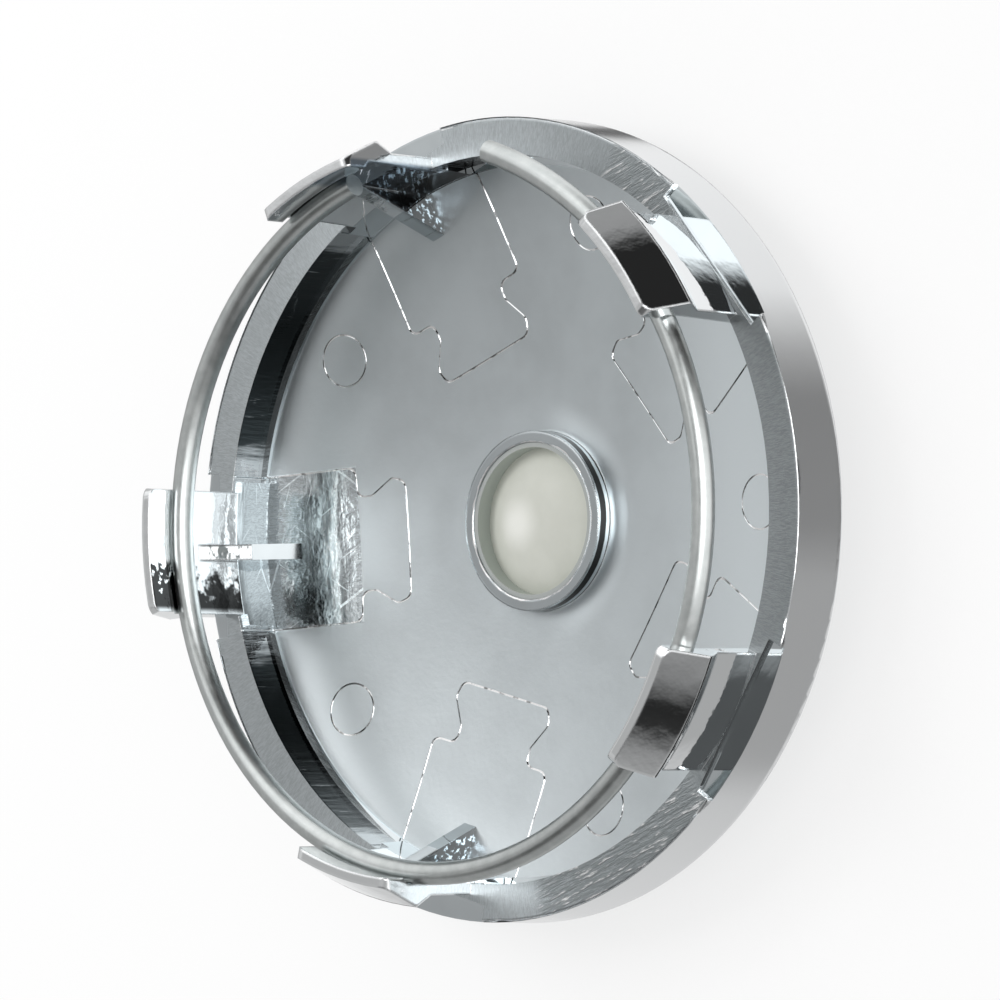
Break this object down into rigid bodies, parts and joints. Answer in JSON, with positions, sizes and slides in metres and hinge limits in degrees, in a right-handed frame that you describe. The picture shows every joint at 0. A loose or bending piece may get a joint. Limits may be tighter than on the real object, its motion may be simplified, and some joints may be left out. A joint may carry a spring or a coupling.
{
  "type": "wheel centre cap",
  "caption": "Round domed wheel centre cap with a deep rim, hooked snap-in clips standing on its back and a split spring wire ring held inside them.",
  "frame": {"origin": "middle of the domed face, at its lowest point when the cap lies face down", "axes": "+Z along the cap's axis, from the face to the clips; -X runs through the middle of one clip"},
  "size_m": [0.06, 0.06, 0.0179],
  "materials": {
    "body": "chrome plating on moulded plastic",
    "ring": "zinc plated spring wire",
    "plug": "bare moulded plastic"
  },
  "bodies": {
    "root": {"cap_body": "body", "spring_ring": "ring", "centre_plug": "plug"}
  },
  "joints": []
}
